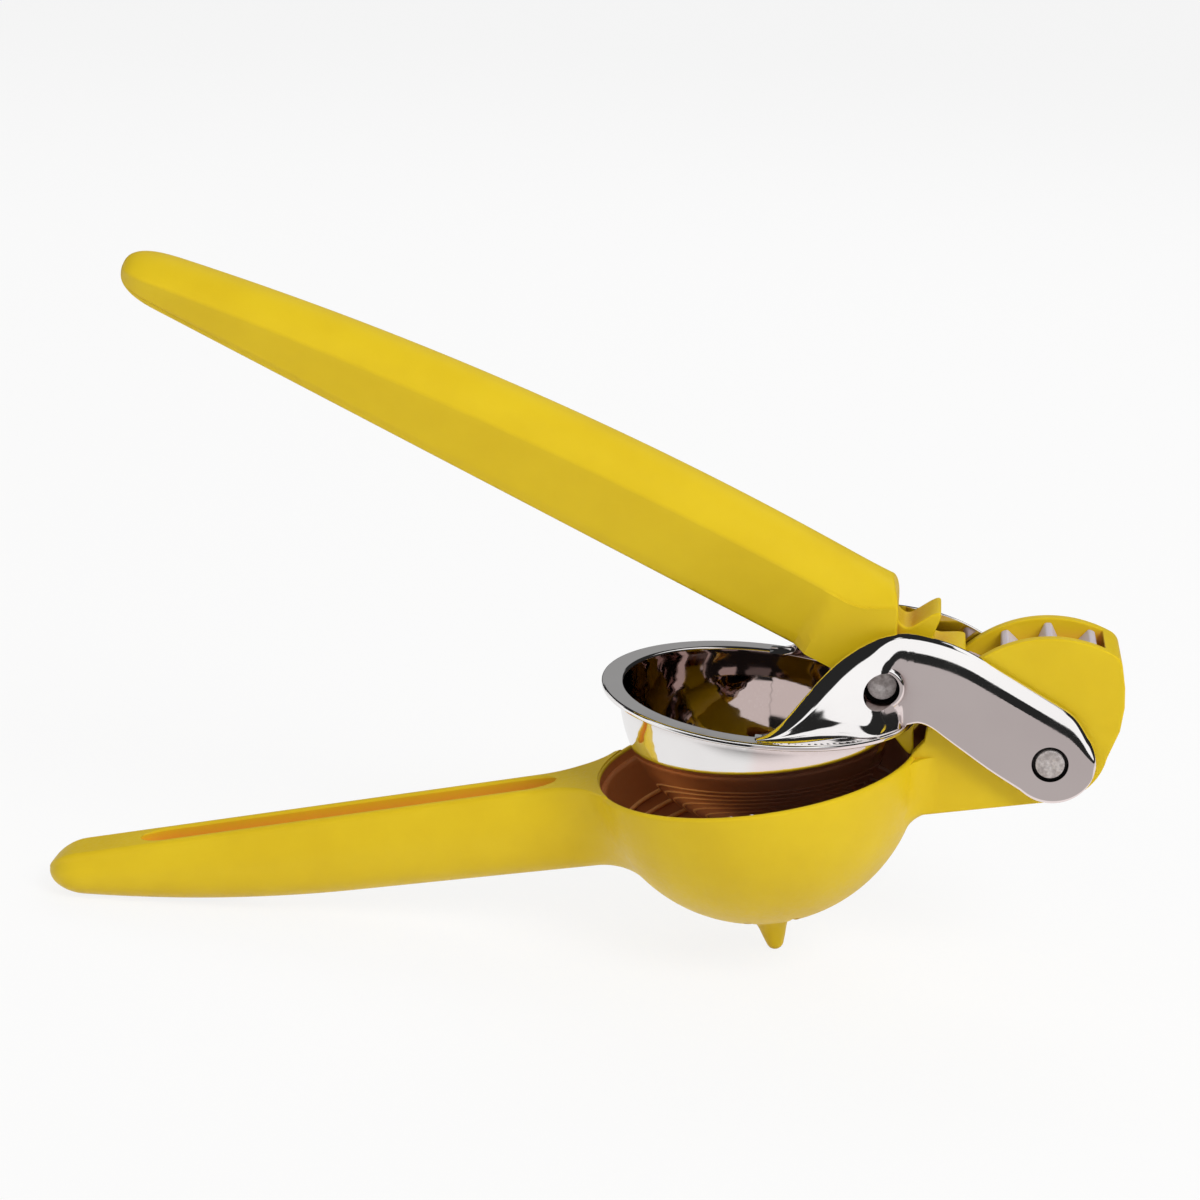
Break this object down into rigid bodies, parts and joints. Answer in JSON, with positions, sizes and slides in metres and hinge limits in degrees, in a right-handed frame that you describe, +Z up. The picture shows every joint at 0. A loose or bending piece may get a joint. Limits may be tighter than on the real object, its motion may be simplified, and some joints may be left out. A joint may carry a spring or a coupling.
{
  "type": "hinged lemon squeezer",
  "caption": "Hinged citrus squeezer: a ridged bowl with a long handle, a polished cup press on twin arms, and a geared upper handle that drives the press into the bowl.",
  "frame": {"origin": "below the middle of the squeezer's length, at the height of its lowest points, which are the tip of the drip nub and the heel of the lower handle", "axes": "+X from the handles towards the hinge, +Z up with the bowl's mouth facing up, Y across the width"},
  "size_m": [0.2647, 0.0808, 0.1655],
  "materials": {
    "yellow_nylon": "satin moulded nylon",
    "grey_nylon": "matt moulded nylon",
    "polished_steel": "mirror polish",
    "pin_steel": "ground ends"
  },
  "bodies": {
    "lower": {"lower_body": "yellow_nylon", "sector_gear": "grey_nylon"},
    "press": {"press": "polished_steel", "handle_pin": "pin_steel", "hinge_pin": "pin_steel"},
    "handle": {"upper_handle": "yellow_nylon"}
  },
  "joints": [
    {"name": "press_hinge", "type": "hinge", "parent": "lower", "child": "press", "pos_m": [0.11646, 0, 0.05929], "axis": [0, 1, 0], "range_deg": [-14.5, 44]},
    {"name": "handle_pivot", "type": "hinge", "parent": "press", "child": "handle", "pos_m": [0.07526, 0, 0.07577], "axis": [0, 1, 0], "range_deg": [-20.6, 62.4]}
  ],
  "couplings": [
    {"joint": "handle_pivot", "follows": "press_hinge", "ratio": 1.4167}
  ]
}
